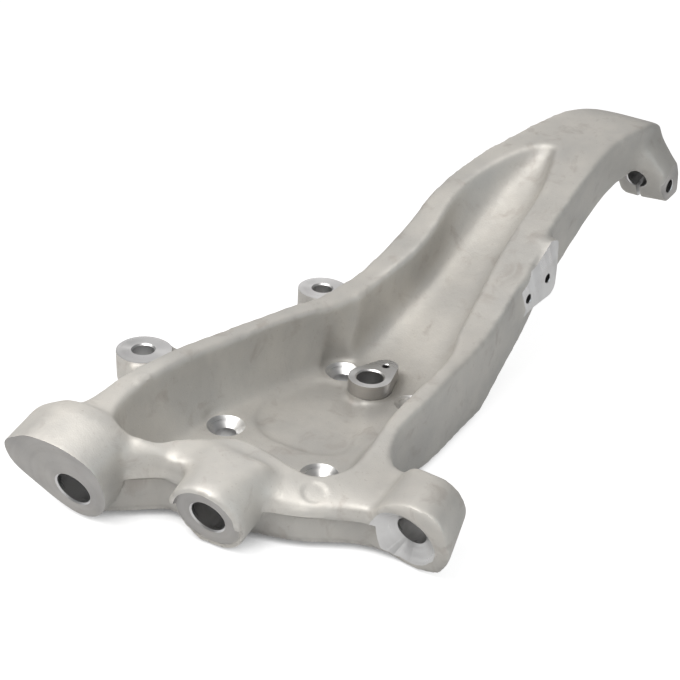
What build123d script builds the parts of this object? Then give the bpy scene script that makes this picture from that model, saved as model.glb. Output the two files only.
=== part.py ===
from build123d import *
import math
import os

# Sizes are in millimetres. The origin is on the wheel axis, on the bearing face.
# +Z points inboard, +Y runs along the gooseneck and +X to the bracket side.

# Longer than the part, for cuts that run right through it
FAR = 600.0

# Wheel bearing flange
SEAT_Z = 14.0
BOLT_CIRCLE_R = 63.1
UPPER_BOLT_ANGLE = 28.4
LOWER_BOLT_ANGLE = 38.2
BOLT_HOLE_R = 6.5
BOLT_SEAT_R = 12.5
BOLT_SEAT_DEPTH = 6.0
BOLT_CLEARANCE_R = 15.5
BOLT_CLEARANCE_HEIGHT = 30.0
BOLT_PAD_R = 14.0
FLANGE_R = 66.0
FLANGE_STEP = 2.5
FLANGE_THICKNESS = 8.0
RECESS_R = 35.0
RECESS_DEPTH = 4.0

# Pocket: the levels of its outlines, the fillet round its floor and the lowered panel
POCKET_MIDDLE_Z = 36.0
POCKET_TOP_Z = 62.0
POCKET_FILLET = 6.0
PANEL_Z = 11.5
PANEL_DRAFT = 2.5

# Brake caliper ears
EAR_CENTRES = [(-101.7, -61.6), (-79.3, 88.6)]
EAR_R = 17.6
EAR_BORE_R = 6.9
EAR_TOP_Z = 49.3
EAR_THICKNESS = 22.0
EAR_REACH = 40.0
EAR_FLARE = 9.0
EAR_SPOTFACE = 2.0

# Speed sensor boss
SENSOR_CENTRE = (0.3, 46.4)
SENSOR_BORE_R = 9.0
SENSOR_TOP_Z = 26.1
SENSOR_BOSS_R = 15.0
SENSOR_SCREW = (-1.0, 65.0)
SENSOR_SCREW_R = 2.5
SENSOR_SCREW_DEPTH = 12.0
SENSOR_TAIL_R = 9.0

# Half the point angle of a common drill, in degrees
DRILL_HALF_ANGLE = 59.0

# Ball joint bosses: the bore rim, the turn about Z and the tilt below the XY plane
JOINT_TILT = 15.0
LEFT_RIM = (-45.0, -166.5, 22.0)
LEFT_TURN = 12.0
LEFT_BORE_R = 11.3
LEFT_PRISM_DEPTH = 28.0
LEFT_SHOULDER_DEPTH = 36.0
LEFT_BACK_DEPTH = 46.0
MIDDLE_RIM = (28.5, -132.5, 22.0)
MIDDLE_TURN = 12.0
MIDDLE_BORE_R = 10.8
MIDDLE_BOSS_R = 24.0
MIDDLE_BOSS_DEPTH = 40.0
MIDDLE_BOSS_TOP = 46.5
JOINT_BORE_DEPTH = 26.0
JOINT_PILOT_R = 7.5
JOINT_PILOT_LENGTH = 5.0
RIGHT_RIM = (118.2, -63.5, 22.0)
RIGHT_TURN = 5.0
RIGHT_BORE_R = 9.4
RIGHT_BORE_LENGTH = 49.0
RIGHT_SEAT_R = 20.6
RIGHT_SEAT_DEPTH = 8.5
RIGHT_BOSS_DEPTH = 36.0

# Gooseneck clamp
CLAMP_RIM = (39.5, 320.0, 105.5)
CLAMP_TILT = 27.0
CLAMP_BORE_R = 8.0
CLAMP_DEPTH = 34.0
CLAMP_WAY = 3.0
CLAMP_WAY_LENGTH = 20.0
PINCH_BORE_R = 5.2
PINCH_DEPTH = 15.0
PINCH_OFFSET = 14.0
SLOT_WIDTH = 3.0
SLOT_REACH = 40.0
SLOT_PAST = 4.0
CLAMP_FACE_WIDTH = 90.0
CLAMP_FACE_DEPTH = 60.0

# Bracket pad
PAD_X = 51.0
PAD_THICKNESS = 14.0
PAD_OUTLINE = [(143, 73), (176, 101), (186, 99), (189, 79), (190, 62), (185, 57), (153, 54)]
PAD_HOLES = [(178.0, 72.0), (155.0, 64.0)]
PAD_HOLE_R = 3.3
PAD_HOLE_DEPTH = 14.0


# Which side of a solid sits on its own origin
ON_TOP = (Align.CENTER, Align.CENTER, Align.MIN)
BELOW = (Align.CENTER, Align.CENTER, Align.MAX)


def smooth_loop(points, pieces=4):
    """Closed smooth outline through 3-D points, in separate curves with shared tangents."""
    count = len(points)
    cuts = [round(i * count / pieces) for i in range(pieces)] + [count]
    edges = []
    for first, last in zip(cuts, cuts[1:]):
        run = [Vector(*points[i % count]) for i in range(first, last + 1)]
        start = Vector(*points[(first + 1) % count]) - Vector(*points[first - 1])
        end = Vector(*points[(last + 1) % count]) - Vector(*points[(last - 1) % count])
        edges.append(Spline(*run, tangents=[start.normalized(), end.normalized()]))
    return Wire(edges)


def closed_curve(points, z):
    """Smooth closed outline through plan points at one height."""
    return smooth_loop([(x, y, z) for x, y in points])


def inset(points, distance):
    """Moves every point of a closed outline inwards, square to its neighbours."""
    moved = []
    count = len(points)
    area = sum(
        points[i][0] * points[(i + 1) % count][1] - points[(i + 1) % count][0] * points[i][1]
        for i in range(count)
    )
    side = distance if area > 0 else -distance
    for i, (x, y) in enumerate(points):
        ax, ay = points[i - 1]
        bx, by = points[(i + 1) % count]
        length = math.hypot(bx - ax, by - ay)
        moved.append((x - side * (by - ay) / length, y + side * (bx - ax) / length))
    return moved


def axis_plane(rim, turn, tilt):
    """Plane on a bore rim: its normal points out of the bore, its y axis upwards."""
    turn, tilt = math.radians(turn), math.radians(tilt)
    outwards = (math.sin(turn) * math.cos(tilt), -math.cos(turn) * math.cos(tilt), -math.sin(tilt))
    return Plane(origin=rim, x_dir=(math.cos(turn), math.sin(turn), 0), z_dir=outwards)


def outline_wire(plane, points, depth):
    """Closed smooth outline on a boss plane, a given depth below its face."""
    deep = plane.offset(-depth)
    return smooth_loop([tuple(deep.from_local_coords((u, w, 0))) for u, w in points])


# Side views of the top surface of the dish at fixed x, front to back
DISH_TOPS = {
    -130: [(-185, 54), (-160, 57), (-138, 57.5), (-115, 57.5), (-78, 57.5), (-20, 57.5), (50, 57.5)],
    -66: [(-185, 54), (-160, 57), (-138, 57.5), (-115, 57.5), (-78, 57.5), (-20, 57.5), (50, 57.5)],
    -38: [(-185, 46), (-160, 49), (-148, 53), (-139, 56), (-119, 57), (-78, 57), (-20, 57), (50, 57.5)],
    -26: [(-185, 8), (-159, 24), (-149, 36), (-141, 45), (-133, 51), (-118, 52),
          (-78, 51), (-20, 53), (50, 57.5)],
    -8: [(-185, 5), (-152, 19), (-139, 31), (-128, 39), (-114, 43), (-95, 42.5),
         (-60, 43), (-20, 48), (50, 57)],
    12: [(-185, 16), (-152, 34), (-141, 42), (-131, 45), (-115, 44.5), (-95, 42),
         (-60, 41), (-20, 46), (50, 57)],
    32: [(-185, 16), (-152, 34), (-139, 44), (-128, 46), (-112, 43.5), (-95, 40),
         (-60, 39), (-20, 45), (50, 57)],
    48: [(-185, 5), (-140, 14), (-121, 25), (-109, 32), (-96, 36.5), (-80, 37.5),
         (-50, 39), (-20, 45), (50, 57)],
    64: [(-185, 5), (-132, 12), (-106, 23), (-95, 30), (-84, 34), (-70, 36),
         (-45, 38.5), (-20, 45), (50, 57)],
    90: [(-185, 5), (-120, 12), (-89, 24), (-72, 31), (-56, 34.5), (-38, 37.5),
         (-20, 43), (15, 53), (50, 57)],
    140: [(-185, 5), (-130, 14), (-85, 24), (-66, 30), (-50, 34), (-35, 38), (-20, 43), (15, 53), (50, 57)],
}
NECK_START = 80.0
NECK_SLOPE = 0.16
NECK_TOP = [(80, 59), (100, 63.5), (124, 74), (153, 87.5), (180, 102), (207, 115), (232, 127.5), (262, 140),
            (295, 148), (322, 150), (342, 145), (370, 130)]
NECK_UNDER = [(80, 0), (105, 8), (130, 23), (160, 39), (190, 55), (220, 72),
              (245, 86), (270, 99), (297, 110),
              (322, 114), (342, 112), (370, 104)]

# Plan outline of the dish, from the neck round the front to the other side
DISH_OUTLINE = [
    (-62, 80), (-66.5, 43), (-70, 13), (-74, -12), (-78.5, -43), (-79, -75), (-77, -103), (-72.5, -122),
    (-69, -140), (-60, -152), (-43, -157), (-27, -146), (-13, -130), (12, -121), (40, -110), (66, -97),
    (98, -73), (118, -60), (108, -42), (90, -38), (73, -20), (71, 12), (67, 46), (61.5, 80),
]
# Plan outlines of the neck: x and y at the low level, then x at the high level
NECK_LEFT = [(-62, 80, -62), (-57.5, 120, -57.5), (-56, 160, -58), (-54, 200, -58), (-45, 228, -50),
             (-33, 253, -39), (-21, 293, -27), (-6, 325, -12), (8, 344, 8)]
NECK_RIGHT = [(38, 344, 42), (35, 318, 46), (28, 290, 43), (31, 255, 42), (37, 220, 43), (44, 178, 46),
              (50, 155, 50), (55, 124, 55), (61.5, 80, 61.5)]


def smooth_run(points, breaks, start=None, end=None):
    """Open smooth run through 3-D points, in separate curves with shared tangents."""
    points = [Vector(*p) for p in points]
    edges = []
    for first, last in zip(breaks, breaks[1:]):
        run = points[first:last + 1]
        head = points[first + 1] - points[first - 1] if first else (start or points[1] - points[0])
        if last + 1 < len(points):
            tail = points[last + 1] - points[last - 1]
        else:
            tail = end or points[-1] - points[-2]
        edges.append(Spline(*run, tangents=[head.normalized(), tail.normalized()]))
    return edges


def dish_side_wire(x, top):
    """Side view of the dish at one x, from the front to the start of the neck."""
    points = [Vector(x, y, z) for y, z in top + [(NECK_START, NECK_TOP[0][1])]]
    rising = Vector(0, 1, NECK_SLOPE).normalized()
    top_edge = Spline(*points, tangents=[(points[1] - points[0]).normalized(), rising])
    back = Line(points[-1], (x, NECK_START, 0))
    under = Line((x, NECK_START, 0), (x, top[0][0], 0))
    return Wire([top_edge, back, under, Line((x, top[0][0], 0), points[0])])


def dish_body():
    """Dish: its side view and plan outline cut from each other."""
    side = Solid.make_loft([dish_side_wire(x, top) for x, top in DISH_TOPS.items()], ruled=True)
    breaks = [0, 6, 9, 13, 17, 20, 23]
    outline = [(x, y, -30) for x, y in DISH_OUTLINE]
    edges = smooth_run(outline, breaks, Vector(-0.09, -1, 0), Vector(-0.13, 1, 0))
    edges.append(Line(edges[-1] @ 1, edges[0] @ 0))
    plan = extrude(make_face(Wire(edges)), 200, dir=(0, 0, 1))
    return side & plan


def neck_body():
    """Gooseneck: its side view and plan outline cut from each other."""
    top = Spline(*[(0, y, z) for y, z in NECK_TOP], tangents=[(0, 1, NECK_SLOPE), (0, 1, -0.6)])
    under = Spline(*[(0, y, z) for y, z in NECK_UNDER], tangents=[(0, 1, 0), (0, 1, -0.4)])
    outline = Wire([top, Line(top @ 1, under @ 1), under, Line(under @ 0, top @ 0)])
    side = extrude(make_face(outline), 150, dir=(1, 0, 0), both=True)

    def level(z, column):
        left = [(row[column], row[1], z) for row in NECK_LEFT]
        right = [(row[column], row[1], z) for row in NECK_RIGHT]
        a = smooth_run(left, [0, 4, 8], Vector(0.09, 1, 0), Vector(1, 0.9, 0))
        b = smooth_run(right, [0, 4, 8], Vector(-0.1, -1, 0), Vector(0.13, -1, 0))
        cap = Spline(left[-1], (26, 352, z), right[0], tangents=[(1, 0.9, 0), (0.1, -1, 0)])
        return Wire(a + [cap] + b + [Line(b[-1] @ 1, a[0] @ 0)])

    plan = Solid.make_loft([level(-30, 0), level(180, 2)], ruled=True)
    return side & plan


def forged_body():
    """Dish and gooseneck in one piece."""
    return dish_body() + neck_body()


POCKET_TOP = [
    (-56, -118), (-38, -137), (-17, -128), (-7, -102), (10, -90), (48, -89), (80, -68), (67, -22),
    (61, 5), (56, 45), (41, 84), (5, 108), (-34, 90), (-52, 35), (-61, -20), (-65, -70),
]
POCKET_MIDDLE = [
    (-52, -110), (-38, -126), (-20, -118), (-12, -98), (4, -82), (42, -79), (66, -62), (60, -26),
    (54, 5), (51, 45), (38, 80), (3, 98), (-33, 82), (-50, 35), (-57.5, -20), (-61, -66),
]
POCKET_BASE = [
    (-44, -92), (-33, -92), (-20, -84), (-8, -68), (10, -64), (38, -64), (54, -54), (46, -25),
    (42, 8), (43, 45), (34, 70), (2, 82), (-30, 72), (-43, 35), (-48, -15), (-51, -55),
]
FLOOR_PANEL = [
    (-41, -18), (-44, 0), (-42, 18), (-37, 36), (-25, 47), (-6, 40), (14, 22),
    (33, -10), (35, -22), (24, -34),
    (5, -40), (-19, -40), (-33, -31),
]

# Channel in the gooseneck: y, floor height, top height, then x of the left rim, left foot,
# right foot and right rim
CHANNEL = [
    (55, 14.2, 66, -47, -39, 42, 51),
    (90, 18, 68, -42, -34, 30, 40),
    (125, 36, 82, -37, -30, 21, 31),
    (160, 57, 99, -36, -27, 14, 23.5),
    (190, 77, 115, -41, -25, 10, 20),
    (218, 99, 128, -36, -20, 8, 16.5),
    (240, 118, 138, -24, -13, 3, 9),
    (254, 134, 146, -13, -6, 1, 5),
]


def channel_wire(y, floor, top, left_rim, left_foot, right_foot, right_rim):
    """U-shaped section of the channel with a straight lid."""
    rise = top - floor
    trough = Spline(
        (left_rim, y, top),
        (left_rim * 0.6 + left_foot * 0.4, y, floor + 0.45 * rise),
        (left_foot, y, floor + 0.1 * rise),
        ((left_foot + right_foot) / 2, y, floor),
        (right_foot, y, floor + 0.08 * rise),
        (right_rim * 0.6 + right_foot * 0.4, y, floor + 0.4 * rise),
        (right_rim, y, top),
    )
    return Wire([trough, Line(trough @ 1, trough @ 0)])


def pocket():
    """Hollow of the dish with its lowered floor panel, and the channel up the neck."""
    levels = [smooth_loop([(x, y, z) for x, y in points], 5) for points, z in
              ((POCKET_BASE, SEAT_Z), (POCKET_MIDDLE, POCKET_MIDDLE_Z), (POCKET_TOP, POCKET_TOP_Z))]
    dish = Solid.make_loft(levels)
    dish = dish.fillet(POCKET_FILLET, dish.faces().sort_by(Axis.Z)[0].edges())
    low = closed_curve(inset(FLOOR_PANEL, PANEL_DRAFT), PANEL_Z)
    panel = Solid.make_loft([low, closed_curve(FLOOR_PANEL, SEAT_Z + 0.5)])
    channel = Solid.make_loft([channel_wire(*row) for row in CHANNEL])
    return [dish, panel, channel]


LEFT_FACE = [(-44, 10), (-42, 23), (-30, 31), (-12, 35.5), (8, 32), (19, 25),
             (23.5, 12), (21.5, -5), (13, -17),
             (0, -22), (-13, -18), (-26, -9), (-38, 0)]
RIGHT_FACE = [(-19, 12), (-12, 22), (0, 29.5), (14, 31.5), (25, 26), (28, 10),
              (26, -8), (16, -19), (4, -21.5),
              (-9, -20.5), (-18, -13), (-21, 0)]
RIGHT_BACK = [(-20, 12), (-14, 18), (-4, 20), (6, 20), (14, 16), (19, 7), (18, -5),
              (12, -14), (2, -19), (-9, -19),
              (-18, -13), (-21, 0)]


def left_boss():
    """Long block of the left joint: a straight prism that ends in a rounded back inside the wall."""
    plane = axis_plane(LEFT_RIM, LEFT_TURN, JOINT_TILT)
    shoulder = [(u * 0.9, w * 0.9) for u, w in LEFT_FACE]
    back = [(u * 0.5, w * 0.5) for u, w in LEFT_FACE]
    levels = ((LEFT_FACE, 0), (LEFT_FACE, LEFT_PRISM_DEPTH), (shoulder, LEFT_SHOULDER_DEPTH),
              (back, LEFT_BACK_DEPTH))
    return Solid.make_loft([outline_wire(plane, points, depth) for points, depth in levels], ruled=True)


def middle_boss():
    """Round boss of the middle joint, trimmed to the height of the beam behind it."""
    plane = axis_plane(MIDDLE_RIM, MIDDLE_TURN, JOINT_TILT)
    boss = extrude(plane * Circle(MIDDLE_BOSS_R), -MIDDLE_BOSS_DEPTH)
    above = Pos(0, 0, MIDDLE_BOSS_TOP) * Box(FAR, FAR, FAR, align=ON_TOP)
    return boss - above


def right_boss():
    """Boss of the right joint, which narrows from its front face to its back."""
    plane = axis_plane(RIGHT_RIM, RIGHT_TURN, JOINT_TILT).offset(RIGHT_SEAT_DEPTH)
    front = outline_wire(plane, RIGHT_FACE, 0)
    back = outline_wire(plane, RIGHT_BACK, RIGHT_BOSS_DEPTH)
    return Solid.make_loft([front, back], ruled=True)


def ear(centre):
    """Caliper ear: a machined disc on a web that widens into the left wall."""
    x, y = centre
    under = EAR_TOP_Z - EAR_THICKNESS
    disc = up_cylinder(x, y, under, EAR_R, EAR_THICKNESS)
    root = x + EAR_REACH
    wide = EAR_R + EAR_FLARE
    outline = Polyline((x, y - EAR_R), (root, y - wide), (root, y + wide), (x, y + EAR_R), close=True)
    web = extrude(Plane.XY.offset(under) * make_face(outline), EAR_THICKNESS - EAR_SPOTFACE)
    return disc + web


# Side views of the clamp block at fixed x, left to right, each from the top front corner round the back
CLAMP_SECTIONS = {
    17: [(319, 138), (330, 142), (342, 139), (346, 122), (343, 105), (333, 99), (320, 112)],
    24: [(311, 142), (330, 146), (345, 141), (354, 120), (353, 95), (329, 88), (312, 116)],
    40: [(310, 142), (330, 146), (345, 141), (356, 120), (357, 92), (329, 87), (312, 116)],
    58.6: [(318, 115), (328, 117), (345, 118), (352, 105), (356, 91), (338, 87), (323, 100)],
}


def clamp_body():
    """Block under the end of the neck that holds the top joint, cut flat where its bore starts."""
    sections = [Polyline(*[(x, y, z) for y, z in points], close=True) for x, points in CLAMP_SECTIONS.items()]
    block = Solid.make_loft([Wire(section.edges()) for section in sections], ruled=True)
    mouth = axis_plane(CLAMP_RIM, 0, CLAMP_TILT)
    front = Box(CLAMP_FACE_WIDTH, SLOT_REACH, CLAMP_FACE_DEPTH, align=ON_TOP)
    return block - mouth * Pos(0, -SLOT_REACH / 2, 0) * front


def clamp_way():
    """Room in front of the clamp bore, where the neck's underside gives way to the joint pin."""
    mouth = axis_plane(CLAMP_RIM, 0, CLAMP_TILT)
    return extrude(mouth * Circle(CLAMP_BORE_R + CLAMP_WAY), CLAMP_WAY_LENGTH)


def bracket_pad():
    """Flat pad on the right wall for a line or sensor bracket."""
    plane = Plane(origin=(PAD_X, 0, 0), x_dir=(0, 1, 0), z_dir=(1, 0, 0))
    return extrude(plane * make_face(Polyline(*PAD_OUTLINE, close=True)), -PAD_THICKNESS)


def bolt_points():
    """Centres of the four wheel bearing bolts."""
    points = []
    for angle, way in ((UPPER_BOLT_ANGLE, 1), (LOWER_BOLT_ANGLE, -1)):
        x = BOLT_CIRCLE_R * math.sin(math.radians(angle))
        y = BOLT_CIRCLE_R * math.cos(math.radians(angle)) * way
        points += [(-x, y), (x, y)]
    return points


def up_cylinder(x, y, z, radius, height):
    """Upright cylinder standing on one height."""
    return Pos(x, y, z) * Cylinder(radius, height, align=ON_TOP)


def flange():
    """Machined pad for the wheel bearing on the hub side."""
    outline = Circle(FLANGE_R)
    for x, y in bolt_points():
        outline += Pos(x, y) * Circle(BOLT_PAD_R)
    return extrude(outline, FLANGE_THICKNESS)


def sensor_boss():
    """Pear-shaped boss of the speed sensor, on the pocket floor."""
    x, y = SENSOR_CENTRE
    sx, sy = SENSOR_SCREW
    outline = Pos(x, y) * Circle(SENSOR_BOSS_R) + Pos(sx, sy) * Circle(SENSOR_TAIL_R)
    outline = make_hull(outline.edges())
    return Pos(0, 0, FLANGE_THICKNESS) * extrude(outline, SENSOR_TOP_Z - FLANGE_THICKNESS)


def joint_bore(rim, turn, radius):
    """Blind bore of a ball joint: a drill's cone leads from its bottom to the smaller pilot."""
    plane = axis_plane(rim, turn, JOINT_TILT)
    bore = extrude(plane.offset(1) * Circle(radius), -JOINT_BORE_DEPTH - 1)
    length = (radius - JOINT_PILOT_R) / math.tan(math.radians(DRILL_HALF_ANGLE))
    cone = plane.offset(-JOINT_BORE_DEPTH) * Cone(JOINT_PILOT_R, radius, length, align=BELOW)
    pilot = extrude(plane.offset(-JOINT_BORE_DEPTH) * Circle(JOINT_PILOT_R), -JOINT_PILOT_LENGTH)
    return [bore + cone + pilot]


def bolt_cuts():
    """Holes, conical seats and socket room of the wheel bearing bolts."""
    cuts = []
    for x, y in bolt_points():
        cuts.append(up_cylinder(x, y, SEAT_Z, BOLT_CLEARANCE_R, BOLT_CLEARANCE_HEIGHT))
        cuts.append(up_cylinder(x, y, -1, BOLT_HOLE_R, SEAT_Z + 2))
        cuts.append(Pos(x, y, SEAT_Z) * Cone(BOLT_HOLE_R, BOLT_SEAT_R, BOLT_SEAT_DEPTH, align=BELOW))
    return cuts


def hub_and_ear_cuts():
    """Recess of the flange and bores of the caliper ears."""
    cuts = [up_cylinder(0, 0, -1, RECESS_R, RECESS_DEPTH + 1)]
    for x, y in EAR_CENTRES:
        cuts.append(up_cylinder(x, y, EAR_TOP_Z - EAR_THICKNESS - 1, EAR_BORE_R, EAR_THICKNESS + 2))
    return cuts


def sensor_cuts():
    """Bore of the speed sensor and the tapped hole of its screw."""
    screw_end = SENSOR_TOP_Z - SENSOR_SCREW_DEPTH
    return [up_cylinder(*SENSOR_CENTRE, -1, SENSOR_BORE_R, SENSOR_TOP_Z + 2),
            up_cylinder(*SENSOR_SCREW, screw_end, SENSOR_SCREW_R, SENSOR_SCREW_DEPTH + 1)]


def right_joint_cuts():
    """Through bore of the right joint and the wide cone round its mouth."""
    plane = axis_plane(RIGHT_RIM, RIGHT_TURN, JOINT_TILT)
    bore = extrude(plane.offset(1) * Circle(RIGHT_BORE_R), -RIGHT_BORE_LENGTH - 1)
    mouth_r = RIGHT_BORE_R + 2 * (RIGHT_SEAT_R - RIGHT_BORE_R)
    return [bore, plane * Cone(RIGHT_BORE_R, mouth_r, 2 * RIGHT_SEAT_DEPTH, align=ON_TOP)]


def clamp_cuts():
    """Bore, slot and pinch bolt hole of the clamp."""
    plane = axis_plane(CLAMP_RIM, 0, CLAMP_TILT)
    bore = extrude(plane.offset(1) * Circle(CLAMP_BORE_R), -CLAMP_DEPTH - 2)
    slot = Box(SLOT_WIDTH, SLOT_REACH, CLAMP_DEPTH + 2 * SLOT_PAST)
    pinch = plane * Pos(0, -PINCH_OFFSET, -PINCH_DEPTH) * Rot(0, 90, 0) * Cylinder(PINCH_BORE_R, FAR)
    return [clamp_way(), bore, plane * Pos(0, -SLOT_REACH / 2, -CLAMP_DEPTH / 2) * slot, pinch]


def pad_cuts():
    """Tapped holes of the bracket pad."""
    cuts = []
    for y, z in PAD_HOLES:
        hole = Plane(origin=(PAD_X + 1, y, z), z_dir=(1, 0, 0)) * Circle(PAD_HOLE_R)
        cuts.append(extrude(hole, -PAD_HOLE_DEPTH - 1))
    return cuts


def machined_cuts():
    """Every bore, seat, slot and tapped hole."""
    cuts = bolt_cuts() + hub_and_ear_cuts() + sensor_cuts()
    cuts += joint_bore(LEFT_RIM, LEFT_TURN, LEFT_BORE_R)
    cuts += joint_bore(MIDDLE_RIM, MIDDLE_TURN, MIDDLE_BORE_R)
    return cuts + right_joint_cuts() + clamp_cuts() + pad_cuts()


def knuckle():
    """The whole forging in one solid."""
    under = Pos(0, 0, FLANGE_STEP) * Box(FAR, FAR, FAR, align=BELOW)
    part = forged_body().cut(under)
    bosses = [left_boss(), middle_boss(), right_boss(), clamp_body(), bracket_pad(), flange()]
    bosses += [ear(centre) for centre in EAR_CENTRES]
    for boss in bosses:
        part = part.fuse(boss)
    for hollow in pocket():
        part = part.cut(hollow)
    part = part.fuse(sensor_boss())
    for cut in machined_cuts():
        part = part.cut(cut)
    return part


if __name__ == "__main__":
    os.makedirs("parts", exist_ok=True)
    part = knuckle()
    part.label = "knuckle"
    export_step(part, "parts/knuckle.step")
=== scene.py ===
import math

import bmesh
import bpy
import numpy as np
from mathutils import Matrix, Vector


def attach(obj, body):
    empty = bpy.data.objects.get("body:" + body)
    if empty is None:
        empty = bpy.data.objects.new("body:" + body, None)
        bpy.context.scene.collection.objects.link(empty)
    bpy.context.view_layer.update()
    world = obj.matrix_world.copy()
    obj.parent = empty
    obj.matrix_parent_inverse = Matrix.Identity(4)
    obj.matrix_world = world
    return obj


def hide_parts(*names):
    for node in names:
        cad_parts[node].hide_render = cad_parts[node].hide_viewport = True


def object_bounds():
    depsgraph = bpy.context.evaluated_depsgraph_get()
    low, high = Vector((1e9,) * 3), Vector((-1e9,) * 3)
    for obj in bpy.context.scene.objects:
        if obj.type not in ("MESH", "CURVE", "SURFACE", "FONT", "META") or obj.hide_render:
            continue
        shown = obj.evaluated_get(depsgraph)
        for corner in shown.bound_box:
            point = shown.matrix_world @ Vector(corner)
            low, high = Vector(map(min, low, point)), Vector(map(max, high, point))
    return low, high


# Places and sizes are in millimetres, in the frame of the part, and become metres through MM.
MM = 0.001

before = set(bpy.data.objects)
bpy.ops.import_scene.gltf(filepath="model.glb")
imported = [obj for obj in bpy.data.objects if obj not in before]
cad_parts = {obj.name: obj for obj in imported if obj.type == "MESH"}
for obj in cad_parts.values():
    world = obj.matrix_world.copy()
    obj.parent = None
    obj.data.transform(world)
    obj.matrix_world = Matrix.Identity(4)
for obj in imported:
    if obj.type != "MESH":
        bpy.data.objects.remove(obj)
cad_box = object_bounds()

# Sides of every turned surface, and of the pear-shaped outline
ROUND_SIDES = 96
PEAR_SIDES = 120

# Angle over which two faces meet in a hard edge, in degrees
HARD_EDGE = 30.0

# How far a vertex of the CAD, and the middle of a cut face, may lie from a place and count as on it
ON_FACE = 0.02
FLAT_FACE = 0.05

# Least radius at which the way round an axis is worked out
AXIS_CORE = 0.001


# Helpers for places and meshes

def place(origin, normal, across=(1, 0, 0)):
    """Matrix in metres: its z points along the normal, its x lies near the across direction."""
    z = Vector(normal).normalized()
    x = Vector(across)
    x = (x - z * x.dot(z)).normalized()
    turn = Matrix((x, z.cross(x), z)).transposed().to_4x4()
    return Matrix.Translation(Vector(origin) * MM) @ turn


def boss_place(rim, turn, tilt):
    """Matrix on a bore rim, from its turn about Z and its tilt below the XY plane."""
    turn, tilt = math.radians(turn), math.radians(tilt)
    out = (math.sin(turn) * math.cos(tilt), -math.cos(turn) * math.cos(tilt), -math.sin(tilt))
    return place(rim, out, (math.cos(turn), math.sin(turn), 0))


def moved(where, x, y, z):
    """The same place shifted along its own axes."""
    return where @ Matrix.Translation((x * MM, y * MM, z * MM))


def new_object(name, data):
    """Object in the scene that holds a mesh, a camera or a light."""
    obj = bpy.data.objects.new(name, data)
    bpy.context.scene.collection.objects.link(obj)
    return obj


def baked(obj):
    """Mesh of an object with its modifiers applied; the object goes."""
    graph = bpy.context.evaluated_depsgraph_get()
    mesh = bpy.data.meshes.new_from_object(obj.evaluated_get(graph))
    bpy.data.objects.remove(obj)
    return mesh


def add_turned(bm, where, profile, index=0):
    """Closed turned solid: its profile is radius and height from the bottom to the top of the axis."""
    sides = ROUND_SIDES
    rings = []
    for radius, height in profile:
        if radius == 0:
            rings.append([bm.verts.new(where @ Vector((0, 0, height * MM)))])
            continue
        ring = []
        for step in range(sides):
            angle = 2 * math.pi * step / sides
            spot = Vector((radius * math.cos(angle), radius * math.sin(angle), height))
            ring.append(bm.verts.new(where @ (spot * MM)))
        rings.append(ring)
    for low, high in zip(rings, rings[1:]):
        for step in range(sides):
            after = (step + 1) % sides
            if len(low) == 1:
                corners = (low[0], high[after], high[step])
            elif len(high) == 1:
                corners = (low[step], low[after], high[0])
            else:
                corners = (low[step], low[after], high[after], high[step])
            bm.faces.new(corners).material_index = index


def add_box(bm, where, low, high, index=0):
    """Closed box between two corners of a place."""
    low, high = Vector(low), Vector(high)
    shift = Matrix.Translation((low + high) / 2 * MM) @ Matrix.Diagonal((*((high - low) * MM), 1))
    made = bmesh.ops.create_cube(bm, size=1, matrix=where @ shift)
    for face in {face for vert in made["verts"] for face in vert.link_faces}:
        face.material_index = index


def add_walls(bm, outline, inner, where, low, high, index=0):
    """Closed prism on an outline in a place; with an inner outline of as many points, a closed ring."""
    loops = []
    for points, height in ((outline, low), (outline, high), (inner, high), (inner, low)):
        if points:
            loops.append([bm.verts.new(where @ (Vector((x, y, height)) * MM)) for x, y in points])
    if not inner:
        bm.faces.new(loops[0][::-1]).material_index = index
        bm.faces.new(loops[1]).material_index = index
    pairs = list(zip(loops, loops[1:])) + ([(loops[-1], loops[0])] if inner else [])
    for one, other in pairs:
        for step in range(len(one)):
            after = (step + 1) % len(one)
            bm.faces.new((one[step], one[after], other[after], other[step])).material_index = index


def soft_step(value, low, high):
    """Smooth rise from 0 at low to 1 at high."""
    share = np.clip((value - low) / (high - low), 0, 1)
    return share * share * (3 - 2 * share)


def distance_from(spots, centre):
    """Distance of every spot from a centre."""
    return np.linalg.norm(spots - np.array(centre), axis=1)


def read_vectors(items, name):
    """One vector of each vertex or polygon."""
    values = np.zeros(len(items) * 3)
    items.foreach_get(name, values)
    return values.reshape(-1, 3)


def read_numbers(items, name):
    """One whole number of each polygon or corner."""
    values = np.zeros(len(items), int)
    items.foreach_get(name, values)
    return values


def coordinates(mesh):
    """Every vertex of a mesh, in millimetres."""
    return read_vectors(mesh.vertices, "co") / MM


def write_coordinates(mesh, spots):
    """Moves every vertex of a mesh to its spot, in millimetres."""
    mesh.vertices.foreach_set("co", (spots * MM).ravel())
    mesh.update()


# Places of the machined features, each on the rim of its bore or on its face

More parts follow.
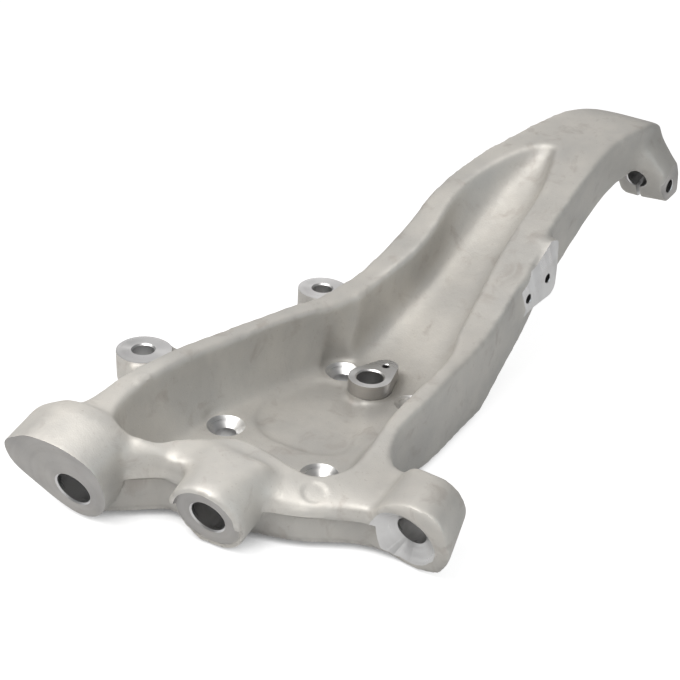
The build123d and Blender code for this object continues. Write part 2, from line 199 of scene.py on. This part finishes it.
UP = (0, 0, 1)
JOINT_TILT = 15
CLAMP_TILT = 27
LEFT = boss_place((-45, -166.5, 22), 12, JOINT_TILT)
MIDDLE = boss_place((28.5, -132.5, 22), 12, JOINT_TILT)
RIGHT = boss_place((118.2, -63.5, 22), 5, JOINT_TILT)
CLAMP = boss_place((39.5, 320, 105.5), 0, CLAMP_TILT)
EARS = [place((-101.7, -61.6, 49.3), UP), place((-79.3, 88.6, 49.3), UP)]
SENSOR = place((0.3, 46.4, 26.1), UP)
SCREW = place((-1, 65, 26.1), UP)
FLANGE = place((0, 0, 0), (0, 0, -1))
PAD = place((51, 0, 0), (1, 0, 0), (0, 1, 0))
PAD_SCREWS = [moved(PAD, 178, 72, 0), moved(PAD, 155, 64, 0)]
PINCH = moved(CLAMP, 19.1, -14, -15) @ Matrix.Rotation(math.pi / 2, 4, "Y")

# Wheel bearing bolts: circle, height of the floor, and the angle of each pair from the Y axis
BOLT_CIRCLE_R = 63.1
BOLT_SEAT_Z = 14
BOLT_PAIRS = [(28.4, 1), (38.2, -1)]


def bolt_places():
    """Places of the four bolt seats, in pairs above and below the wheel axis."""
    places = []
    for angle, way in BOLT_PAIRS:
        x = round(BOLT_CIRCLE_R * math.sin(math.radians(angle)), 2)
        y = round(BOLT_CIRCLE_R * math.cos(math.radians(angle)), 2) * way
        places += [place((-x, y, BOLT_SEAT_Z), UP), place((x, y, BOLT_SEAT_Z), UP)]
    return places


BOLTS = bolt_places()


# Turned profiles: radius and height, from the bottom of each cut to its top

BOLT_PROFILE = [(0, -20), (6.5, -20), (6.5, -5.9), (12.5, 0), (12.5, 5), (0, 5)]
RIGHT_PROFILE = [(0, -49), (9.4, -49), (9.4, 0), (20.6, 8.5), (47, 28.5), (0, 28.5)]


def joint_profile(radius, face_r):
    """Blind bore of a joint in its milled face: behind it are a drill's cone and a pilot."""
    return [(0, -31), (7.5, -31), (7.5, -28.3), (radius, -26), (radius, -0.9), (radius + 1, 0),
            (face_r, 0), (face_r, 9), (0, 9)]


def faced_bore(radius, depth, chamfer, face_r, above):
    """Chamfered bore in a round face; the cut reaches some way above the face."""
    return [(0, -depth), (radius, -depth), (radius, -chamfer), (radius + chamfer, 0),
            (face_r, 0), (face_r, above), (0, above)]


def tapped_hole(radius, depth):
    """Tap drill hole with a small countersink."""
    return [(0, -depth), (radius, -depth), (radius, -0.5), (radius + 0.7, 0.2), (0, 0.2)]


# Every turned cut; its number here is the material index of its faces
TURNED = [
    (LEFT, joint_profile(11.3, 48)),
    (MIDDLE, joint_profile(10.8, 20.5)),
    (RIGHT, RIGHT_PROFILE),
    (CLAMP, faced_bore(8, 35, 0.7, 11, 20)),
    *[(ear, faced_bore(6.9, 25, 1, 18.6, 8)) for ear in EARS],
    (SENSOR, faced_bore(9, 30, 1, 34, 8)),
    (SCREW, tapped_hole(2.5, 12)),
    *[(bolt, BOLT_PROFILE) for bolt in BOLTS],
    *[(screw, tapped_hole(3.3, 14)) for screw in PAD_SCREWS],
    (PINCH, faced_bore(5.2, 50, 0.5, 18, 8)),
    (FLANGE, faced_bore(35, 4, 0.5, 86, 9)),
]
CLAMP_INDEX = [where for where, _ in TURNED].index(CLAMP)
PAD_INDEX = len(TURNED)
PEAR_INDEX = PAD_INDEX + 1
AXES = [where for where, _ in TURNED] + [PAD, SENSOR]

# Places whose flat faces are milled: they end duller than the turned bores and seats
MILLED = [LEFT, MIDDLE, CLAMP, PINCH]

# Slot of the clamp: its corners in the place of the clamp
SLOT_LOW = (-1.5, -40, -38)
SLOT_HIGH = (1.5, 0, 6)

# Outline of the pad's cut, as y and z, a little past its forged edge, and its height above the face
PAD_OUTLINE = [(140, 74), (175, 105), (188, 103), (192, 79), (193, 60), (186, 54), (151, 51)]
PAD_ABOVE = 8

# Pear-shaped wall of the sensor boss: two circles as x, y and radius, the heights of its milled band
# and the width of the cut round it
PEAR = [(0, 0, 14.6), (-1.3, 18.6, 8.6)]
PEAR_LOW, PEAR_HIGH = -9.5, 4
PEAR_ROOM = 5.0


def pear_outline(grow):
    """Outline round both circles of the pear, in its place."""
    points = []
    for step in range(PEAR_SIDES):
        angle = 2 * math.pi * (step + 0.5) / PEAR_SIDES
        way = (math.cos(angle), math.sin(angle))
        x, y, radius = max(PEAR, key=lambda circle: circle[0] * way[0] + circle[1] * way[1] + circle[2])
        points.append((x + way[0] * (radius + grow), y + way[1] * (radius + grow)))
    return points


# Plugs that close the holes of the blank before its skin is made: place, bottom, top and radius.
# The last one fills out the left side of the right joint's boss.
PLUGS = [
    (LEFT, -33, 3, 12.5),
    (MIDDLE, -33, 3, 12),
    (RIGHT, -33, 2, 11),
    (CLAMP, -37, 0, 9.2),
    (SENSOR, -26, 2, 10.5),
    (SCREW, -13, 2, 3.4),
    (PINCH, -41, 0, 6.2),
    (FLANGE, -6, 0, 36.5),
    *[(ear, -22, 2, 8.5) for ear in EARS],
    *[(bolt, -14, -0.5, 13.5) for bolt in BOLTS],
    *[(screw, -15, 1, 4.4) for screw in PAD_SCREWS],
    (moved(RIGHT, -9, 1, 0), -30, 8.5, 15.5),
]

# Faces that are drawn out before the cut, so that their edges end crisp: place, reach and distance
PROUD = [
    (LEFT, 50, 6),
    (MIDDLE, 30, 2.6),
    *[(ear, 30, 4) for ear in EARS],
    (SENSOR, 36, 4),
    (moved(PAD, 170, 75, 0), 60, 4),
    (PINCH, 30, 4),
    (FLANGE, 86, 4),
]

# The skin of the forging: size of its grid, rounds of each smoothing, and the share of faces kept
VOXEL = 1.6
EVEN_ROUNDS = 5
BROAD_ROUNDS = 9
SOFT_ROUNDS = 45
RELAX_SHARE = 0.5
SKIN_SHARE = 0.6

# Broad forged shoulders that get wide fillets: centre and reach. The fillets fade out from the
# core, a share of the reach, to the reach.
SOFT = [((28, -112, 44), 36), ((-12, -102, 46), 26), ((42, 330, 118), 34)]
SOFT_CORE = 0.5

# Small features that keep tighter edges: centre, reach and share of the broad smoothing. The full
# smoothing comes back between two multiples of the reach.
CRISP_FADE = (0.75, 1.3)
CRISP = [
    ((-101.7, -61.6, 40), 26, 0.12),
    ((-79.3, 88.6, 40), 26, 0.12),
    ((0.3, 52, 20), 24, 0.1),
    ((51, 170, 76), 26, 0.25),
    ((0, 0, 0), 82, 0.3),
    ((0, 0, 18), 50, 0.35),
    ((118.2, -63.5, 22), 34, 0.3),
]


def filled_blank():
    """Copy of the CAD node with its holes plugged and its machined faces drawn out."""
    bm = bmesh.new()
    bm.from_mesh(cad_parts["knuckle"].data)
    bmesh.ops.remove_doubles(bm, verts=bm.verts, dist=1e-6)
    for where, reach, out in PROUD:
        back = where.inverted()
        normal = where.to_3x3() @ Vector(UP)
        for vert in bm.verts:
            spot = back @ vert.co
            if abs(spot.z) < ON_FACE * MM and math.hypot(spot.x, spot.y) < reach * MM:
                vert.co += normal * out * MM
    for where, low, high, radius in PLUGS:
        add_turned(bm, where, [(0, low), (radius, low), (radius, high), (0, high)])
    mesh = bpy.data.meshes.new("blank")
    bm.to_mesh(mesh)
    bm.free()
    return mesh


def relax(mesh, share, rounds):
    """Moves each vertex towards the middle of its neighbours, by its own share."""
    spots = coordinates(mesh)
    ends = np.zeros(len(mesh.edges) * 2, int)
    mesh.edges.foreach_get("vertices", ends)
    ends = ends.reshape(-1, 2)
    one, other = np.concatenate((ends, ends[:, ::-1])).T
    count = len(spots)
    near = np.bincount(one, minlength=count)
    for _ in range(rounds):
        middle = np.stack([np.bincount(one, spots[other, k], count) for k in range(3)], 1) / near[:, None]
        spots += (middle - spots) * share[:, None]
    write_coordinates(mesh, spots)


def broad_share(spots):
    """Share of the broad smoothing at each vertex: less near the small features."""
    share = np.full(len(spots), RELAX_SHARE)
    for centre, reach, least in CRISP:
        far = soft_step(distance_from(spots, centre), *(reach * part for part in CRISP_FADE))
        share = np.minimum(share, RELAX_SHARE * (least + (1 - least) * far))
    return share


def soft_share(spots):
    """Share of the wide fillets at each vertex."""
    share = np.zeros(len(spots))
    for centre, reach in SOFT:
        near = 1 - soft_step(distance_from(spots, centre), reach * SOFT_CORE, reach)
        share = np.maximum(share, RELAX_SHARE * near)
    return share


# Trimmed flash on the front of the beam: x and height of its line, width of the band above it,
# how far the band stands out and how far the beam steps back below it
FLASH_LINE = [(-45, 27), (-16, 26.5), (10, 25), (58, 22), (112, 20)]
FLASH_BAND = 5.0
FLASH_PROUD = 0.9
FLASH_STEP = 2.2

# Where the flash sets in: slope of a face towards the front, distance in front of the wheel axis,
# and x at the left end; then x over which it fades out at the right end
FLASH_SLOPE = (0.15, 0.5)
FLASH_FRONT = (55, 62)
FLASH_LEFT = (-46, -40)
FLASH_RIGHT = (96, 104)

# Round marks of the ejector pins: centre, radius and height of each
EJECTOR_MARKS = [((-63.3, -95.4, 57.5), 6.5, 0.7), ((66, -86, 35.5), 7.5, -0.7)]


def forged_marks(mesh):
    """Flash line and ejector marks, pressed into the skin along its normals."""
    spots = coordinates(mesh)
    normals = read_vectors(mesh.vertices, "normal")
    x, y, z = spots.T
    rise = z - np.interp(x, *zip(*FLASH_LINE))
    front = soft_step(-normals[:, 1], *FLASH_SLOPE) * soft_step(-y, *FLASH_FRONT)
    front *= soft_step(x, *FLASH_LEFT) * (1 - soft_step(x, *FLASH_RIGHT))
    band = soft_step(rise, -0.8, 0.8) * (1 - soft_step(rise, FLASH_BAND - 1.5, FLASH_BAND + 1.5))
    below = 1 - soft_step(rise, -0.9, 0.9)
    push = front * (FLASH_PROUD * band - FLASH_STEP * below)
    for centre, radius, height in EJECTOR_MARKS:
        inside = 1 - soft_step(distance_from(spots, centre), radius - 1.0, radius + 1.0)
        push += height * inside * soft_step(normals[:, 2], 0.3, 0.7)
    write_coordinates(mesh, spots + normals * push[:, None])


def forged_skin():
    """Forged surface: the blank with rounded edges, fillets and shallow marks."""
    obj = new_object("blank", filled_blank())
    remesh = obj.modifiers.new("remesh", "REMESH")
    remesh.mode = "VOXEL"
    remesh.voxel_size = VOXEL * MM
    mesh = baked(obj)
    relax(mesh, np.full(len(mesh.vertices), RELAX_SHARE), EVEN_ROUNDS)
    relax(mesh, broad_share(coordinates(mesh)), BROAD_ROUNDS)
    relax(mesh, soft_share(coordinates(mesh)), SOFT_ROUNDS)
    forged_marks(mesh)
    obj = new_object("skin", mesh)
    thin = obj.modifiers.new("thin", "DECIMATE")
    thin.ratio = SKIN_SHARE
    return baked(obj)


def cutter():
    """Every machined cut in one mesh."""
    bm = bmesh.new()
    for index, (where, profile) in enumerate(TURNED):
        add_turned(bm, where, profile, index)
    add_box(bm, CLAMP, SLOT_LOW, SLOT_HIGH, CLAMP_INDEX)
    add_walls(bm, PAD_OUTLINE, None, PAD, 0, PAD_ABOVE, PAD_INDEX)
    add_walls(bm, pear_outline(PEAR_ROOM), pear_outline(0), SENSOR, PEAR_LOW, PEAR_HIGH, PEAR_INDEX)
    bmesh.ops.recalc_face_normals(bm, faces=bm.faces)
    mesh = bpy.data.meshes.new("cutter")
    bm.to_mesh(mesh)
    bm.free()
    for index in range(len(AXES)):
        mesh.materials.append(bpy.data.materials.new(f"axis {index}"))
    return mesh


def machined(skin):
    """The skin with every cut made: its first material is the forging, the next ones the axes."""
    skin.materials.clear()
    skin.materials.append(bpy.data.materials.new("skin"))
    obj = new_object("machining", skin)
    tool = new_object("cutter", cutter())
    cut = obj.modifiers.new("cut", "BOOLEAN")
    cut.operation = "DIFFERENCE"
    cut.solver = "EXACT"
    cut.use_self = True
    cut.material_mode = "TRANSFER"
    cut.object = tool
    mesh = baked(obj)
    bpy.data.objects.remove(tool)
    return mesh


# Materials

def new_group(name, inputs, outputs):
    """Empty shader node group; each socket is a name, a type and a default value."""
    tree = bpy.data.node_groups.new(name, "ShaderNodeTree")
    for label, kind, value in inputs:
        socket = tree.interface.new_socket(label, in_out="INPUT", socket_type=kind)
        if value is not None:
            socket.default_value = value
    for label, kind in outputs:
        tree.interface.new_socket(label, in_out="OUTPUT", socket_type=kind)
    return tree, tree.nodes.new("NodeGroupInput"), tree.nodes.new("NodeGroupOutput")


def math_node(tree, operation, *values):
    """Math node with its inputs linked or set."""
    made = tree.nodes.new("ShaderNodeMath")
    made.operation = operation
    for socket, value in zip(made.inputs, values):
        if isinstance(value, (int, float)):
            socket.default_value = value
        else:
            tree.links.new(value, socket)
    return made.outputs[0]


def mix_colours(tree, factor, first, second):
    """Mix of two colours that are linked or set."""
    made = tree.nodes.new("ShaderNodeMix")
    made.data_type = "RGBA"
    for socket, value in ((made.inputs[0], factor), (made.inputs[6], first), (made.inputs[7], second)):
        if isinstance(value, (int, float, tuple)):
            socket.default_value = value
        else:
            tree.links.new(value, socket)
    return made.outputs[2]


def noise(tree, vector, scale, detail=2.0, roughness=0.5, distortion=0.0):
    """Noise texture on a vector; its value."""
    made = tree.nodes.new("ShaderNodeTexNoise")
    made.inputs["Detail"].default_value = detail
    made.inputs["Roughness"].default_value = roughness
    made.inputs["Distortion"].default_value = distortion
    tree.links.new(vector, made.inputs["Vector"])
    if isinstance(scale, (int, float)):
        made.inputs["Scale"].default_value = scale
    else:
        tree.links.new(scale, made.inputs["Scale"])
    return made.outputs["Fac"]


def between(tree, value, low, high):
    """Clamped share of a value between two limits."""
    made = tree.nodes.new("ShaderNodeMapRange")
    made.inputs["From Min"].default_value = low
    made.inputs["From Max"].default_value = high
    tree.links.new(value, made.inputs["Value"])
    return made.outputs["Result"]


# Scales of the patterns in the metal, in waves to a metre
CLOUD_SCALE = 26.0
STAIN_SCALE = 60.0
SPECK_SCALE = 620.0
DENT_SCALE = 190.0

# Share of the stain colour in the dark specks
SPECK_AMOUNT = 0.35

# Weight of the dents against the pits, and the roughness of blasted metal with its gain on dents
DENT_WEIGHT = 1.6
BLASTED_ROUGHNESS = 0.49
DENT_ROUGHER = 0.16

# Turns of the tool marks' pattern round the axis, and its stretch into slow bands along the cut
SWIRL = 18.0
SLOW_BANDS = (0.16, 1.0, 1.0)


def mottled_metal():
    """Group: patchy colour of bare metal, with soft clouds, small stains and dark specks."""
    inputs = [
        ("Place", "NodeSocketVector", None),
        ("Metal", "NodeSocketColor", (0.6, 0.6, 0.6, 1)),
        ("Cloud", "NodeSocketColor", (0.5, 0.5, 0.5, 1)),
        ("Stain", "NodeSocketColor", (0.4, 0.35, 0.3, 1)),
        ("Stain Amount", "NodeSocketFloat", 0.3),
    ]
    tree, given, out = new_group("mottled metal", inputs, [("Color", "NodeSocketColor")])
    spot = given.outputs["Place"]
    clouds = between(tree, noise(tree, spot, CLOUD_SCALE, 3.0, 0.55), 0.36, 0.66)
    coloured = mix_colours(tree, clouds, given.outputs["Metal"], given.outputs["Cloud"])
    patches = between(tree, noise(tree, spot, STAIN_SCALE, 4.0, 0.62, 0.6), 0.56, 0.72)
    stain = math_node(tree, "MULTIPLY", patches, given.outputs["Stain Amount"])
    coloured = mix_colours(tree, stain, coloured, given.outputs["Stain"])
    specks = between(tree, noise(tree, spot, SPECK_SCALE, 2.0, 0.5), 0.66, 0.76)
    specks = math_node(tree, "MULTIPLY", specks, SPECK_AMOUNT)
    coloured = mix_colours(tree, specks, coloured, given.outputs["Stain"])
    tree.links.new(coloured, out.inputs["Color"])
    return tree


def blasted_grain():
    """Group: height of a shot-blasted surface, from fine pits to a soft unevenness."""
    inputs = [("Place", "NodeSocketVector", None), ("Pits", "NodeSocketFloat", 1100.0)]
    outputs = [("Height", "NodeSocketFloat"), ("Roughness", "NodeSocketFloat")]
    tree, given, out = new_group("blasted grain", inputs, outputs)
    spot = given.outputs["Place"]
    pits = noise(tree, spot, given.outputs["Pits"], 2.0, 0.6)
    dents = noise(tree, spot, DENT_SCALE, 2.0, 0.5)
    height = math_node(tree, "MULTIPLY_ADD", dents, DENT_WEIGHT, pits)
    rough = math_node(tree, "MULTIPLY_ADD", dents, DENT_ROUGHER, BLASTED_ROUGHNESS)
    tree.links.new(height, out.inputs["Height"])
    tree.links.new(rough, out.inputs["Roughness"])
    return tree


def tool_marks():
    """Group: rings that a turning tool leaves round its axis, on faces and in bores alike."""
    inputs = [("Axis Place", "NodeSocketVector", None), ("Pitch", "NodeSocketFloat", 0.0006)]
    outputs = [("Height", "NodeSocketFloat"), ("Shade", "NodeSocketFloat")]
    tree, given, out = new_group("tool marks", inputs, outputs)
    parts = tree.nodes.new("ShaderNodeSeparateXYZ")
    tree.links.new(given.outputs["Axis Place"], parts.inputs[0])
    x, y, z = parts.outputs
    squares = [math_node(tree, "MULTIPLY", part, part) for part in (x, y)]
    radius = math_node(tree, "SQRT", math_node(tree, "ADD", *squares))
    along = math_node(tree, "DIVIDE", math_node(tree, "ADD", radius, z), given.outputs["Pitch"])
    made = tree.nodes.new("ShaderNodeCombineXYZ")
    tree.links.new(along, made.inputs["X"])
    tree.links.new(math_node(tree, "MULTIPLY", x, SWIRL), made.inputs["Y"])
    tree.links.new(math_node(tree, "MULTIPLY", y, SWIRL), made.inputs["Z"])
    rings = noise(tree, made.outputs[0], 0.8, 2.0, 0.55)
    slow = tree.nodes.new("ShaderNodeVectorMath")
    slow.operation = "MULTIPLY"
    slow.inputs[1].default_value = SLOW_BANDS
    tree.links.new(made.outputs[0], slow.inputs[0])
    bands = between(tree, noise(tree, slow.outputs[0], 0.9, 2.0, 0.5), 0.35, 0.65)
    tree.links.new(rings, out.inputs["Height"])
    tree.links.new(bands, out.inputs["Shade"])
    return tree


def placed_group(tree, group, links, **values):
    """Group node in a material, with its linked and its set inputs."""
    made = tree.nodes.new("ShaderNodeGroup")
    made.node_tree = group
    for name, source in links.items():
        tree.links.new(source, made.inputs[name])
    for name, value in values.items():
        made.inputs[name.replace("_", " ")].default_value = value
    return made


def bump(tree, height, strength, distance):
    """Normal of a height, with its distance in millimetres."""
    made = tree.nodes.new("ShaderNodeBump")
    made.inputs["Strength"].default_value = strength
    made.inputs["Distance"].default_value = distance * MM
    tree.links.new(height, made.inputs["Height"])
    return made.outputs["Normal"]


MOTTLED = mottled_metal()
GRAIN = blasted_grain()
MARKS = tool_marks()


# Reach over which hollows of the forging get painted shade
SHADE_AO_REACH = 55.0

# Brightness of the forging: least, in the painted shade of a hollow; gain from a hollow to an open face;
# and gain on edges, a painted highlight that is partly edge wear
PAINTED_SHADE_BRIGHTNESS = 0.62
UNSHADED_BRIGHTER = 0.4
EDGE_HIGHLIGHT_AND_WEAR = 0.14

# The front beam is painted brighter, a painted light: y where that starts and is full, and how much
LIT_BEAM_FROM = -50.0
LIT_BEAM_FULL = -85.0
BEAM_PAINTED_LIGHT = 0.22

# Material slots of the finished mesh
FORGED_SLOT, TURNED_SLOT, MILLED_SLOT = range(3)

# Turned and milled aluminium: metal, cloud and stain colours, and roughness
TURNED_LOOK = ((0.76, 0.76, 0.76, 1), (0.68, 0.675, 0.67, 1), (0.5, 0.46, 0.43, 1), 0.27)
MILLED_LOOK = ((0.5, 0.485, 0.465, 1), (0.43, 0.42, 0.41, 1), (0.33, 0.28, 0.26, 1), 0.36)

# Distance between the rings of the tool in metres, how much rougher its bands get, and how far
# highlights stretch across the rings
TOOL_PITCH = 0.0005
BAND_ROUGHER = 0.12
STRETCH = 0.75


def forged_material():
    """Shot-blasted forging skin: light warm grey with clouds, stains and fine pits, with painted shade in
    hollows, painted highlights on edges and painted light on the front beam.
    """
    mat = bpy.data.materials.new("blasted forging")
    mat.use_nodes = True
    tree = mat.node_tree
    shader = tree.nodes["Principled BSDF"]
    shader.inputs["Metallic"].default_value = 0.55
    spot = tree.nodes.new("ShaderNodeTexCoord").outputs["Object"]
    colour = placed_group(
        tree, MOTTLED, {"Place": spot}, Metal=(0.7, 0.675, 0.63, 1), Cloud=(0.6, 0.585, 0.555, 1),
        Stain=(0.42, 0.37, 0.33, 1), Stain_Amount=0.38,
    )
    grain = placed_group(tree, GRAIN, {"Place": spot}, Pits=1150.0)
    # Painted shade: ambient occlusion darkens the colour in the hollows and creases of the forging.
    painted_shade_ao = tree.nodes.new("ShaderNodeAmbientOcclusion")
    painted_shade_ao.samples = 6
    painted_shade_ao.inputs["Distance"].default_value = SHADE_AO_REACH * MM
    # Painted highlight, partly edge wear: pointiness lightens the colour on convex edges.
    rubbed_and_highlit = between(tree, tree.nodes.new("ShaderNodeNewGeometry").outputs["Pointiness"], 0.5, 0.57)
    unshaded_share = between(tree, painted_shade_ao.outputs["AO"], 0.25, 0.95)
    shade = math_node(tree, "MULTIPLY_ADD", unshaded_share, UNSHADED_BRIGHTER, PAINTED_SHADE_BRIGHTNESS)
    shade = math_node(tree, "MULTIPLY_ADD", rubbed_and_highlit, EDGE_HIGHLIGHT_AND_WEAR, shade)
    # Painted light: the colour of the front beam is lighter, from its y.
    parts = tree.nodes.new("ShaderNodeSeparateXYZ")
    tree.links.new(spot, parts.inputs[0])
    painted_light_on_beam = between(tree, parts.outputs["Y"], LIT_BEAM_FROM * MM, LIT_BEAM_FULL * MM)
    shade = math_node(tree, "MULTIPLY_ADD", painted_light_on_beam, BEAM_PAINTED_LIGHT, shade)
    shaded = tree.nodes.new("ShaderNodeVectorMath")
    shaded.operation = "SCALE"
    tree.links.new(colour.outputs["Color"], shaded.inputs[0])
    tree.links.new(shade, shaded.inputs["Scale"])
    tree.links.new(shaded.outputs[0], shader.inputs["Base Color"])
    tree.links.new(grain.outputs["Roughness"], shader.inputs["Roughness"])
    tree.links.new(bump(tree, grain.outputs["Height"], 0.42, 0.22), shader.inputs["Normal"])
    return mat


def machined_material(name, metal, cloud, stain, roughness):
    """Machined aluminium with the rings of the tool."""
    mat = bpy.data.materials.new(name)
    mat.use_nodes = True
    tree = mat.node_tree
    shader = tree.nodes["Principled BSDF"]
    shader.inputs["Metallic"].default_value = 1.0
    spot = tree.nodes.new("ShaderNodeTexCoord").outputs["Object"]
    axis = tree.nodes.new("ShaderNodeAttribute")
    axis.attribute_name = "axis_place"
    colour = placed_group(
        tree, MOTTLED, {"Place": spot}, Metal=metal, Cloud=cloud, Stain=stain, Stain_Amount=0.22,
    )
    marks = placed_group(tree, MARKS, {"Axis Place": axis.outputs["Vector"]}, Pitch=TOOL_PITCH)
    rough = math_node(tree, "MULTIPLY_ADD", marks.outputs["Shade"], BAND_ROUGHER, roughness)
    tree.links.new(colour.outputs["Color"], shader.inputs["Base Color"])
    tree.links.new(rough, shader.inputs["Roughness"])
    tree.links.new(bump(tree, marks.outputs["Height"], 0.1, 0.03), shader.inputs["Normal"])
    way = tree.nodes.new("ShaderNodeAttribute")
    way.attribute_name = "turn_way"
    shader.inputs["Anisotropic"].default_value = STRETCH
    tree.links.new(way.outputs["Vector"], shader.inputs["Tangent"])
    return mat


def finish_surfaces(mesh):
    """Forged, turned and milled material, and each machined corner's place on its own turning axis."""
    # Number of the axis of each material, counted from 1; the forged skin has none and counts as 0
    axis_of = [0 if m.name.startswith("skin") else int(m.name.split()[1]) + 1 for m in mesh.materials]
    axis = np.array(axis_of)[read_numbers(mesh.polygons, "material_index")]
    corner_axis = np.repeat(axis, read_numbers(mesh.polygons, "loop_total"))
    spots = coordinates(mesh)[read_numbers(mesh.loops, "vertex_index")] * MM
    ways = np.tile((1.0, 0.0, 0.0), (len(spots), 1))
    centres = read_vectors(mesh.polygons, "center")
    finish = np.where(axis > 0, TURNED_SLOT, FORGED_SLOT).astype(np.int32)
    for number, where in enumerate(AXES, 1):
        chosen = corner_axis == number
        back = np.array(where.inverted())
        spots[chosen] = spots[chosen] @ back[:3, :3].T + back[:3, 3]
        x, y = spots[chosen, :2].T
        radius = np.maximum(np.hypot(x, y), AXIS_CORE * MM)
        ways[chosen] = np.stack((-y, x, 0 * x), 1) / radius[:, None] @ back[:3, :3]
        if number == PEAR_INDEX + 1:
            finish[axis == number] = MILLED_SLOT
        elif where in MILLED:
            height = centres @ back[2, :3] + back[2, 3]
            finish[(axis == number) & (abs(height) < FLAT_FACE * MM)] = MILLED_SLOT
    for name, vectors in (("axis_place", spots), ("turn_way", ways)):
        layer = mesh.attributes.new(name, "FLOAT_VECTOR", "CORNER")
        layer.data.foreach_set("vector", vectors.astype(np.float32).ravel())
    mesh.materials.clear()
    mesh.materials.append(forged_material())
    mesh.materials.append(machined_material("turned aluminium", *TURNED_LOOK))
    mesh.materials.append(machined_material("milled aluminium", *MILLED_LOOK))
    mesh.polygons.foreach_set("material_index", finish)
    mesh.polygons.foreach_set("use_smooth", [True] * len(mesh.polygons))
    mesh.set_sharp_from_angle(angle=math.radians(HARD_EDGE))


knuckle = new_object("knuckle_looks", machined(forged_skin()))
finish_surfaces(knuckle.data)
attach(knuckle, "root")
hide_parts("knuckle")


# Camera

CAMERA_SPOT = Vector((413.897, -508.448, 427.408))
CAMERA_RIGHT = Vector((0.76530631, 0.64183405, 0.04853145))
CAMERA_DOWN = Vector((0.33925169, -0.33813964, -0.8778211))
CAMERA_FORWARD = Vector((-0.54700506, 0.6882664, -0.47652368))
CAMERA_LENS = 63.53
SENSOR_WIDTH = 36


def make_camera():
    """Camera fitted to the view of the photo."""
    data = bpy.data.cameras.new("camera")
    data.lens = CAMERA_LENS
    data.sensor_width = SENSOR_WIDTH
    data.clip_start = 0.01
    camera = new_object("camera", data)
    turn = Matrix((CAMERA_RIGHT, -CAMERA_DOWN, -CAMERA_FORWARD)).transposed().to_4x4()
    camera.matrix_world = Matrix.Translation(CAMERA_SPOT * MM) @ turn
    bpy.context.scene.camera = camera


# Light, in metres and watts

LIGHT_TARGET = Vector((0, 0.05, 0.03))
LIGHTS = [
    ("key", (-0.15, -0.65, 1.2), 0.8, 14.0, (1, 0.985, 0.965)),
    ("back", (-0.8, 1.0, 0.8), 0.9, 1.8, (1, 0.98, 0.97)),
    ("side", (1.3, 0.1, 0.6), 0.7, 1.9, (0.8, 0.92, 1)),
]
WORLD_STRENGTH = 0.22


def make_lights():
    """Three area lights aimed at the knuckle, in a dim white world."""
    for name, spot, size, power, colour in LIGHTS:
        data = bpy.data.lights.new(name, "AREA")
        data.shape = "SQUARE"
        data.size = size
        data.energy = power
        data.color = colour
        light = new_object(name, data)
        light.location = spot
        light.rotation_mode = "QUATERNION"
        light.rotation_quaternion = (LIGHT_TARGET - Vector(spot)).to_track_quat("-Z", "Y")
    world = bpy.data.worlds.new("studio")
    bpy.context.scene.world = world
    world.use_nodes = True
    world.node_tree.nodes["Background"].inputs["Color"].default_value = (1, 1, 1, 1)
    world.node_tree.nodes["Background"].inputs["Strength"].default_value = WORLD_STRENGTH


# Floor, in metres: it glows white to the camera, except where the knuckle covers it closely, which paints
# shade on the floor under the knuckle. FLOOR_MIRRORED is the share of that glow in reflections, and
# FLOOR_SHADE_REACH is how far up the cover counts.

FLOOR_REACH = 20.0
FLOOR_GAP = 0.0005
FLOOR_GREY = (0.35, 0.35, 0.35, 1)
FLOOR_GLOW = 0.9
FLOOR_MIRRORED = 0.55
FLOOR_SHADE_REACH = 0.3


def floor_material():
    """Matt grey that glows where it's open to the sky, with painted shade where the knuckle covers it
    closely.
    """
    mat = bpy.data.materials.new("white floor")
    mat.use_nodes = True
    tree = mat.node_tree
    shader = tree.nodes["Principled BSDF"]
    shader.inputs["Base Color"].default_value = FLOOR_GREY
    shader.inputs["Roughness"].default_value = 0.95
    shader.inputs["Specular IOR Level"].default_value = 0
    path = tree.nodes.new("ShaderNodeLightPath")
    seen = math_node(tree, "MULTIPLY_ADD", path.outputs["Is Glossy Ray"], FLOOR_MIRRORED,
                     path.outputs["Is Camera Ray"])
    # Painted shade: ambient occlusion takes the glow away where the knuckle covers the floor closely.
    floor_shade_ao = tree.nodes.new("ShaderNodeAmbientOcclusion")
    floor_shade_ao.samples = 8
    floor_shade_ao.inputs["Distance"].default_value = FLOOR_SHADE_REACH
    unshaded_floor = between(tree, floor_shade_ao.outputs["AO"], 0.04, 0.32)
    seen = math_node(tree, "MULTIPLY", seen, unshaded_floor)
    glow = tree.nodes.new("ShaderNodeEmission")
    tree.links.new(math_node(tree, "MULTIPLY", seen, FLOOR_GLOW), glow.inputs["Strength"])
    both = tree.nodes.new("ShaderNodeAddShader")
    tree.links.new(shader.outputs[0], both.inputs[0])
    tree.links.new(glow.outputs[0], both.inputs[1])
    tree.links.new(both.outputs[0], tree.nodes["Material Output"].inputs["Surface"])
    return mat


def make_floor():
    """Floor just under the knuckle, as part of the stage and not of the part."""
    far = FLOOR_REACH
    mesh = bpy.data.meshes.new("floor")
    mesh.from_pydata([(-far, -far, 0), (far, -far, 0), (far, far, 0), (-far, far, 0)], [], [(0, 1, 2, 3)])
    floor = new_object("floor", mesh)
    floor.location.z = cad_box[0].z - FLOOR_GAP
    mesh.materials.append(floor_material())


make_camera()
make_lights()
make_floor()
bpy.context.scene.view_settings.view_transform = "Standard"
